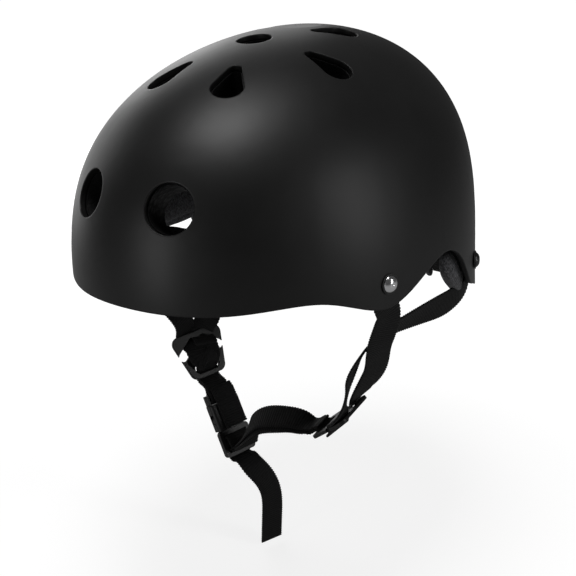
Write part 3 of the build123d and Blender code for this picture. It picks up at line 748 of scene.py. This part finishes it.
# Doubled webbing below the dividers, its turns round the buckle's bars, and the loose end
chin_points = foot_points(left_divider_centre, left_axes, left_inner)
chin_points = chin_points + harness_points(chin_route_shares, -left_divider_centre.z)
chin_points.append(on_buckle(0, ladder_slot_middle, plug_half_thickness + chin_end_rise))
chin_points.append(on_buckle(0, ladder_slot_middle, plug_half_thickness + chin_end_gap))
loop_points = foot_points(right_divider_centre, right_axes, right_behind)
loop_points += [on_buckle(0, socket_top + rise, 0) for rise in loop_end_rises]
for layer, shift in (("outer", layer_shift), ("inner", -layer_shift)):
    piece = webbing(
        "chin_webbing_" + layer, chin_points, -left_inner, -buckle_axes[1], shift, slip=shift * chin_slip,
        turned_facing=chin_turn,
    )
    bends_between(piece)
    takes_place(piece, "chin_strap", "webbing")
    piece = webbing("buckle_webbing_" + layer, loop_points, -right_inner, -buckle_axes[2], shift)
    stands_for(piece, "buckle_strap", "harness", "webbing")

bar_points = [on_buckle(0, socket_top + up, inward) for up, inward in socket_turn]
piece = webbing("buckle_webbing_turn", bar_points, buckle_axes[2], buckle_axes[2], bar=buckle_axes[0], bar_share=1.0)
stands_for(piece, "buckle_strap", "harness", "webbing")
flap_points = [on_buckle(flap_side, up, inward) for up, inward in socket_flap]
piece = webbing("buckle_webbing_flap", flap_points, buckle_axes[2], buckle_axes[2])
stands_for(piece, "buckle_strap", "harness", "webbing")
bar_points = [on_buckle(0, up, inward) for up, inward in ladder_turn]
piece = webbing("chin_webbing_turn", bar_points, buckle_axes[2], buckle_axes[2], bar=buckle_axes[0], bar_share=1.0)
stands_for(piece, "chin_strap", "plug", "webbing")

tail_points = [on_buckle(0, ladder_foot + up, inward) for up, inward in tail_turn]
tail_points.append(on_buckle(0, ladder_foot - tail_start_gap, tail_start_rise))
tail_points = tail_points + harness_points(tail_route_shares, tail_drop)
piece = webbing(
    "tail_webbing", tail_points, buckle_axes[2], buckle_axes[2], bar=buckle_axes[0], bar_share=tail_bar_share,
)
stands_for(piece, "strap_tail", "plug", "webbing")

# Pads: the CAD cushions, remeshed, filled by pressure like real foam pads, then smoothed and sewn round
for name in ("front_pad", "rear_pad", "side_pad_left", "side_pad_right", "crown_pad"):
    piece = bpy.data.objects.new(name + "_cushion", nodes[name].data.copy())
    bpy.context.scene.collection.objects.link(piece)
    settle(piece, "REMESH", mode="VOXEL", voxel_size=pad_voxel * millimetre)
    inflate(piece)
    settle(piece, "SMOOTH", factor=0.5, iterations=3)
    settle(piece, "SUBSURF", levels=1, render_levels=1)
    if name == "rear_pad":
        lift_ends(piece)
    sew(piece)
    piece.data.polygons.foreach_set("use_smooth", [True] * len(piece.data.polygons))
    stands_for(piece, name, "helmet", "pad_fabric")

# The rear pad's ends, which hang out of the ear notches under the liner
for side, hand in ((1, "left"), (-1, "right")):
    piece = make_object("rear_pad_end_" + hand, *pad_end(side))
    stands_for(piece, "rear_pad", "helmet", "pad_fabric")

# Camera at the photograph's view
azimuth, elevation, roll = radians(camera_azimuth), radians(camera_elevation), radians(camera_roll)
back = Vector((sin(azimuth) * cos(elevation), -cos(azimuth) * cos(elevation), sin(elevation)))
level_right = Vector((cos(azimuth), sin(azimuth), 0))
level_up = back.cross(level_right)
target = level_right * camera_aim_right + level_up * camera_aim_up
eye = (target + back * camera_distance) * millimetre
right = level_right * cos(roll) + level_up * sin(roll)
up = level_up * cos(roll) - level_right * sin(roll)
camera_data = bpy.data.cameras.new("camera")
camera_data.sensor_fit = "HORIZONTAL"
camera_data.sensor_width = sensor_width
camera_data.lens = camera_focal_pixels / image_side * sensor_width
camera_data.clip_start = nearest_seen
camera = bpy.data.objects.new("camera", camera_data)
bpy.context.scene.collection.objects.link(camera)
camera.matrix_world = Matrix.Translation(eye) @ Matrix((right, up, back)).transposed().to_4x4()
bpy.context.scene.camera = camera

# Pale floor that keeps the shadow, below the loose strap end, and is white to the camera further away
floor_level = cad_low.z - floor_gap
floor_mesh = bpy.data.meshes.new("floor")
corners = [(-floor_half, -floor_half), (floor_half, -floor_half), (floor_half, floor_half), (-floor_half, floor_half)]
floor_mesh.from_pydata([(x, y, floor_level) for x, y in corners], [], [(0, 1, 2, 3)])
floor = bpy.data.objects.new("floor", floor_mesh)
bpy.context.scene.collection.objects.link(floor)
floor_material = bpy.data.materials.new("pale_floor")
floor_material.use_nodes = True
add = adder(floor_material.node_tree)
rays = add("LightPath")
mirrored = add("Math", [(rays.outputs["Is Glossy Ray"], 0)], operation="MULTIPLY")
mirrored.inputs[1].default_value = mirrored_share
seen = add("Math", [(rays.outputs["Is Camera Ray"], 0), (mirrored.outputs["Value"], 1)], operation="MAXIMUM")
reach = add("VectorMath", [(add("NewGeometry").outputs["Position"], 0)], operation="LENGTH")
rise = add(
    "MapRange", [(reach.outputs["Value"], "Value")], From_Min=glow_reach[0], From_Max=glow_reach[1],
    To_Min=glow_range[0], To_Max=glow_range[1],
)
share = add("Math", [(seen.outputs["Value"], 0), (rise.outputs["Result"], 1)], operation="MULTIPLY")
glow = add("Emission", [(share.outputs["Value"], "Strength")])
paper = add("BsdfDiffuse", Color=floor_colour)
both = add("AddShader", [(paper.outputs["BSDF"], 0), (glow.outputs["Emission"], 1)])
add("OutputMaterial", [(both.outputs["Shader"], "Surface")])
floor_mesh.materials.append(floor_material)

# White surroundings for the camera, softer ones for the light
world = bpy.data.worlds.new("studio")
bpy.context.scene.world = world
world.use_nodes = True
add = adder(world.node_tree)
rays = add("LightPath")
soft = add("Background", Color=surroundings_colour, Strength=surroundings_light)
white = add("Background", Color=surroundings_colour)
backgrounds = [(soft.outputs["Background"], 1), (white.outputs["Background"], 2)]
mix = add("MixShader", [(rays.outputs["Is Camera Ray"], "Fac"), *backgrounds])
add("OutputWorld", [(mix.outputs["Shader"], "Surface")])

# Soft studio lights, which face the part's origin
for name, place, width, height, power in lamp_rows:
    lamp = bpy.data.lights.new(name, "AREA")
    lamp.shape = "RECTANGLE"
    lamp.size = width
    lamp.size_y = height
    lamp.energy = power
    holder = bpy.data.objects.new(name, lamp)
    bpy.context.scene.collection.objects.link(holder)
    holder.location = place
    holder.rotation_euler = (-Vector(place)).to_track_quat("-Z", "Y").to_euler()

bpy.context.scene.view_settings.view_transform = "Standard"
